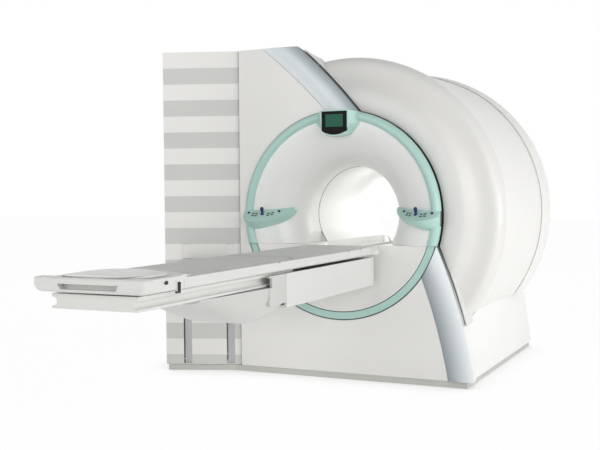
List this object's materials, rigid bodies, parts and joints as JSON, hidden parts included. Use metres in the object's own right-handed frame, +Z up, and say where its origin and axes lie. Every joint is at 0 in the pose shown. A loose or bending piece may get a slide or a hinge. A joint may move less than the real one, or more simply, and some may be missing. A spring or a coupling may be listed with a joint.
{
  "type": "magnetic resonance scanner with patient table",
  "caption": "Whole-body tunnel magnet scanner with a telescopic patient table on a lift tower, mint ring and striped tower.",
  "frame": {"origin": "on the floor under the middle of the magnet, on the underside of the magnet base", "axes": "+Z up; +Y into the bore, away from the patient table; +X to the right seen from the table end"},
  "size_m": [2.0946, 4.069, 2],
  "materials": {
    "belt_rubber": "ribbed",
    "black_gloss": "glossy black",
    "black_plastic": "matt black",
    "bore_white": "smooth white",
    "copper": "wound wire",
    "cover_band": "darker stripe",
    "cover_white": "satin moulded cover",
    "epoxy": "cast resin",
    "frame_blue": "painted",
    "key_dark": "matt",
    "knob_purple": "soft touch",
    "mattress_grey": "coated fabric",
    "mint": "mint green, semi-gloss",
    "plinth_grey": "grey",
    "rail_grey": "light grey paint",
    "screen_green": "dark green display",
    "shadow_grey": "dark grey",
    "silver": "silver paint",
    "steel": "machined",
    "table_grey": "satin",
    "table_white": "powder coated",
    "vessel_steel": "brushed"
  },
  "bodies": {
    "magnet": {"front_panel": "cover_white", "silver_band_upper": "silver", "silver_band_lower": "silver", "band_frame": "shadow_grey", "ring_frame": "shadow_grey", "ring_bead": "mint", "ring_stripe": "mint", "bore_funnel": "bore_white", "front_insert": "cover_white", "wing_left": "mint", "wing_right": "mint", "keys_left": "key_dark", "keys_right": "key_dark", "display_housing": "mint", "display_bezel": "black_gloss", "display_screen": "screen_green", "front_barrel_cover": "cover_white", "rear_barrel_cover": "cover_white", "rear_cover": "cover_white", "rear_funnel": "bore_white", "side_panel_left": "cover_white", "side_panel_right": "cover_white", "rear_base_panel": "cover_white", "plinth": "plinth_grey", "base_frame": "frame_blue", "cryostat": "vessel_steel", "magnet_coils": "copper", "coil_former": "table_grey", "gradient_coil": "epoxy", "body_coil": "copper", "bore_tube": "bore_white", "bore_bed": "plinth_grey", "tower_front": "cover_white", "tower_stripes": "cover_band", "tower_shell": "cover_white", "tower_column": "rail_grey", "lift_motor": "black_plastic"},
    "table": {"lift_carriage": "steel", "slot_shutters": "cover_white", "lift_arm": "table_white", "table_beam": "table_white", "cradle": "table_white", "drive_belt": "belt_rubber", "slide_motor": "black_plastic"},
    "lift_spindle": {"lift_screw": "steel"},
    "carriage": {"trolley": "table_white"},
    "couch_top": {"tabletop": "table_white", "mattress_foot": "mattress_grey", "mattress_head": "mattress_grey", "end_handle": "table_white"},
    "knob_left": {"control_knob_left": "knob_purple"},
    "knob_right": {"control_knob_right": "knob_purple"},
    "key_left_outer": {"button_left_outer": "knob_purple"},
    "key_left_inner": {"button_left_inner": "knob_purple"},
    "key_right_outer": {"button_right_outer": "knob_purple"},
    "key_right_inner": {"button_right_inner": "knob_purple"},
    "latch_hook": {"latch": "black_plastic"},
    "release_key": {"release_button": "black_plastic"},
    "motor_pulley": {"drive_pulley": "table_grey"},
    "free_pulley": {"idler_pulley": "table_grey"}
  },
  "joints": [
    {"name": "table_lift", "type": "slide", "parent": "magnet", "child": "table", "axis": [0, 0, 1], "range_m": [-0.35, 0]},
    {"name": "screw_turn", "type": "hinge", "parent": "magnet", "child": "lift_spindle", "pos_m": [-0.91354, -0.81427, 0.4], "axis": [0, 0, 1], "range_deg": [-6310, 10]},
    {"name": "carriage_slide", "type": "slide", "parent": "table", "child": "carriage", "axis": [0, 1, 0], "range_m": [0, 0.8]},
    {"name": "tabletop_slide", "type": "slide", "parent": "carriage", "child": "couch_top", "axis": [0, 1, 0], "range_m": [0, 0.8]},
    {"name": "motor_pulley_turn", "type": "hinge", "parent": "table", "child": "motor_pulley", "pos_m": [0, -1.97, 0.634], "axis": [1, 0, 0], "range_deg": [-1800, 10]},
    {"name": "free_pulley_turn", "type": "hinge", "parent": "table", "child": "free_pulley", "pos_m": [0, -0.98, 0.634], "axis": [1, 0, 0], "range_deg": [-1800, 10]},
    {"name": "knob_left_tilt", "type": "hinge", "parent": "magnet", "child": "knob_left", "pos_m": [-0.493, -0.888, 0.99046], "axis": [1, 0, 0], "range_deg": [-12, 12], "stiffness_Nm_per_rad": 0.3},
    {"name": "knob_right_tilt", "type": "hinge", "parent": "magnet", "child": "knob_right", "pos_m": [0.493, -0.888, 0.99046], "axis": [1, 0, 0], "range_deg": [-12, 12], "stiffness_Nm_per_rad": 0.3},
    {"name": "button_left_outer_press", "type": "slide", "parent": "magnet", "child": "key_left_outer", "axis": [0, 0.6691, -0.7431], "range_m": [0, 0.003], "stiffness_N_per_m": 300},
    {"name": "button_left_inner_press", "type": "slide", "parent": "magnet", "child": "key_left_inner", "axis": [0, 0.6691, -0.7431], "range_m": [0, 0.003], "stiffness_N_per_m": 300},
    {"name": "button_right_outer_press", "type": "slide", "parent": "magnet", "child": "key_right_outer", "axis": [0, 0.6691, -0.7431], "range_m": [0, 0.003], "stiffness_N_per_m": 300},
    {"name": "button_right_inner_press", "type": "slide", "parent": "magnet", "child": "key_right_inner", "axis": [0, 0.6691, -0.7431], "range_m": [0, 0.003], "stiffness_N_per_m": 300},
    {"name": "latch_turn", "type": "hinge", "parent": "couch_top", "child": "latch_hook", "pos_m": [0.2395, -2.992, 0.777], "axis": [1, 0, 0], "range_deg": [0, 40]},
    {"name": "release_press", "type": "slide", "parent": "couch_top", "child": "release_key", "axis": [-1, 0, 0], "range_m": [0, 0.004], "stiffness_N_per_m": 400}
  ],
  "couplings": [
    {"joint": "screw_turn", "follows": "table_lift", "rad_per_m": 314.16},
    {"joint": "tabletop_slide", "follows": "carriage_slide", "ratio": 1},
    {"joint": "motor_pulley_turn", "follows": "carriage_slide", "rad_per_m": -39.216},
    {"joint": "free_pulley_turn", "follows": "carriage_slide", "rad_per_m": -39.216}
  ]
}
